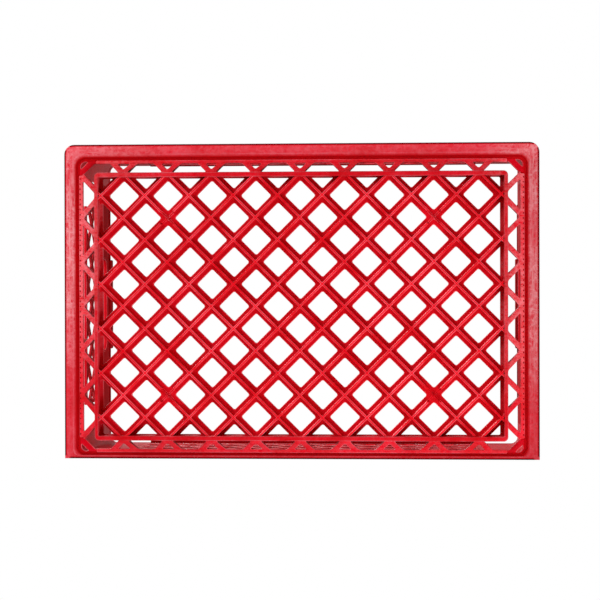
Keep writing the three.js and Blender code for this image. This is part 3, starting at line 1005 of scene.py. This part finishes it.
def handle_panel(side):
    """The solid upper part of an end wall, with a lip round its hand slot."""
    half = POST_SPLIT[1] + OVERLAP
    top = RIM_BOTTOM + 2 * OVERLAP
    outline = [(-half, HANDLE_BOTTOM), (half, HANDLE_BOTTOM), (half, top), (-half, top)]
    middle = (SLOT_BOTTOM + SLOT_TOP) / 2
    rise = (SLOT_TOP - SLOT_BOTTOM) / 2
    slot = [(u, v + middle) for u, v in rounded_rectangle(SLOT_HALF, rise, SLOT_END)]
    shape = Shape()
    matrix = wall_frame(side)
    add_plate(shape, outline, [slot], (0.0003, WALL), 0.0008, matrix)
    section = (
        (0.0040, 0.0005),
        (0.0040, 0),
        (-0.0002, 0),
        (-0.0002, 0.0045),
        (0.0020, 0.0045),
        (0.0020, 0.0020),
    )
    lip = [(SLOT_HALF + out, rise + out, SLOT_END + out, depth) for out, depth in section]
    add_ring(shape, lip, [0, 0.0005, 0.0012, 0.0007, 0.0006, 0], (0, middle), matrix)
    paint_inside_shade(shape)
    make_piece(f"handle_panel_{side}", shape, plastic, [f"handle_panel_{side}"])


def handle_grip(side):
    """The part of the rim over a hand slot, thickened on its inner side."""
    shape = Shape()
    low = (-SLOT_HALF, GRIP_BOTTOM, RIM_WIDTH - RIM_BITE)
    high = (SLOT_HALF, HEIGHT - 0.0005, RIM_WIDTH + GRIP_DEPTH)
    add_block(shape, low, high, 0.0013, wall_frame(side))
    # The grip is painted dark, as shade.
    shape.exposed = [GRIP_SHADE] * len(shape.exposed)
    make_piece(f"handle_grip_{side}", shape, worn, [f"handle_grip_{side}"])


def top_rim():
    def at(inset, z):
        return (HALF_LENGTH - inset, HALF_WIDTH - inset, CORNER_RADIUS - inset, z)

    corners = [
        at(RIM_WIDTH, RIM_BOTTOM),
        at(0, RIM_BOTTOM),
        at(0, RIM_BOTTOM + 0.0050),
        at(0.0005, RIM_BOTTOM + 0.0056),
        at(0.0005, HEIGHT - 0.0076),
        at(0, HEIGHT - 0.0070),
        at(0, HEIGHT),
        at(RIM_WIDTH, HEIGHT),
    ]
    radii = [0.0005, 0.0008, 0.0004, 0.0004, 0.0004, 0.0004, 0.0009, 0.0006]
    shape = Shape()
    add_ring(shape, corners, radii)
    make_piece("top_rim", shape, worn, node_names("top_rim"))


def rim_lip(side, start, end, name, width=LIP_WIDTH):
    shape = Shape()
    low = (start, LIP_HEIGHTS[0], RIM_WIDTH - RIM_BITE)
    high = (end, LIP_HEIGHTS[1], RIM_WIDTH + width)
    add_block(shape, low, high, 0.0006, wall_frame(side))
    # The lip is painted dark, as shade.
    shape.exposed = [LIP_SHADE] * len(shape.exposed)
    make_piece(f"rim_lip_{name}", shape, plastic, [f"rim_lip_{name}"])


def rim_lips():
    """The lips of the long walls, and those of the short walls on either side of the grip."""
    for side, width in (("front", LIP_WIDTH), ("back", BACK_LIP_WIDTH)):
        rim_lip(side, -LIP_HALF[0], LIP_HALF[0], side, width)
    for side, sign in (("right", 1), ("left", -1)):
        for number, part in enumerate((-1, 1), 1):
            ends = sorted((part * sign * SLOT_HALF, part * sign * LIP_HALF[1]))
            rim_lip(side, *ends, f"{side}_{number}")


# ---- Stage ------------------------------------------------------------------


def add_light(name, place, width, power):
    data = bpy.data.lights.new(name, "AREA")
    data.shape = "DISK"
    data.size = width
    data.energy = power
    light = bpy.data.objects.new(name, data)
    light.location = place
    direction = Vector(LIGHT_TARGET) - light.location
    light.rotation_euler = direction.to_track_quat("-Z", "Y").to_euler()
    bpy.context.scene.collection.objects.link(light)


def add_world():
    """White to the camera. To everything else it is dim, and dimmest from below."""
    world = bpy.data.worlds.new("studio")
    world.use_nodes = True
    tree = world.node_tree
    background = tree.nodes["Background"]
    direction = add_node(tree, "ShaderNodeTexCoord").outputs["Generated"]
    height = add_node(tree, "ShaderNodeSeparateXYZ", {0: direction}).outputs["Z"]
    level = between(tree, height, -0.55, -0.06, WORLD_BELOW, WORLD_ABOVE)
    seen = add_node(tree, "ShaderNodeLightPath").outputs["Is Camera Ray"]
    tree.links.new(mixed(tree, seen, level, (1, 1, 1, 1)), background.inputs["Color"])
    bpy.context.scene.world = world


def add_floor():
    """A pale floor under the crate that only shows from above, so the underside can be seen.

    It casts no shadow, so the lights below it reach the underside.
    """
    material = bpy.data.materials.new("pale_floor")
    material.use_nodes = True
    tree = material.node_tree
    shader = tree.nodes["Principled BSDF"]
    shader.inputs["Roughness"].default_value = 0.8
    shader.inputs["Specular IOR Level"].default_value = 0.2
    place = add_node(tree, "ShaderNodeTexCoord").outputs["Object"]
    grain = between(tree, noise(tree, place, 3, 3), 0.3, 0.7)
    colour = mixed(tree, grain, (0.80, 0.80, 0.80, 1), (0.84, 0.84, 0.84, 1))
    tree.links.new(colour, shader.inputs["Base Color"])
    behind = add_node(tree, "ShaderNodeNewGeometry").outputs["Backfacing"]
    clear = add_node(tree, "ShaderNodeBsdfTransparent").outputs[0]
    both = add_node(
        tree, "ShaderNodeMixShader", {0: behind, 1: shader.outputs[0], 2: clear}
    ).outputs[0]
    tree.links.new(both, tree.nodes["Material Output"].inputs["Surface"])
    bm = bmesh.new()
    bmesh.ops.create_grid(bm, x_segments=8, y_segments=8, size=6)
    mesh = bpy.data.meshes.new("floor")
    bm.to_mesh(mesh)
    bm.free()
    mesh.materials.append(material)
    floor = bpy.data.objects.new("floor", mesh)
    floor.location.z = STAGE_Z
    floor.visible_shadow = False
    bpy.context.scene.collection.objects.link(floor)


def add_camera():
    data = bpy.data.cameras.new("camera")
    data.sensor_width = 36
    data.lens = CAMERA_LENS
    data.clip_start = 0.1
    data.clip_end = 50
    camera = bpy.data.objects.new("camera", data)
    turn_x, turn_y, turn_z = (
        Matrix.Rotation(math.radians(turn), 3, axis) for turn, axis in zip(CAMERA_TURNS, "XYZ")
    )
    rotation = turn_z @ turn_y @ turn_x
    right = rotation.transposed() @ Vector((1, 0, 0))
    up = rotation.transposed() @ Vector((0, -1, 0))
    back = rotation.transposed() @ Vector((0, 0, -1))
    placed = Matrix((right, up, back)).transposed().to_4x4()
    placed.translation = CAMERA_PLACE
    camera.matrix_world = placed
    bpy.context.scene.collection.objects.link(camera)
    bpy.context.scene.camera = camera


floor_lattice()
stacking_ring()
floor_edges()
base_band()
for corner, sign_x, sign_y in (
    ("front_left", -1, -1),
    ("front_right", 1, -1),
    ("back_left", -1, 1),
    ("back_right", 1, 1),
):
    corner_gusset(corner, sign_x, sign_y)
    corner_post(corner, sign_x, sign_y)
for side in ("front", "back"):
    wall_lattice(side, LONG_PANEL_HALF, BAND_TOP, RIM_BOTTOM)
for side in ("left", "right"):
    wall_lattice(side, SIDE_PANEL_HALF, PANEL_BOTTOM, HANDLE_BOTTOM)
    slot_posts(side)
    handle_panel(side)
    handle_grip(side)
top_rim()
rim_lips()
add_world()
add_floor()
for light in LIGHTS:
    add_light(*light)
add_camera()
scene = bpy.context.scene
scene.view_settings.view_transform = "Standard"
scene.view_settings.look = "None"
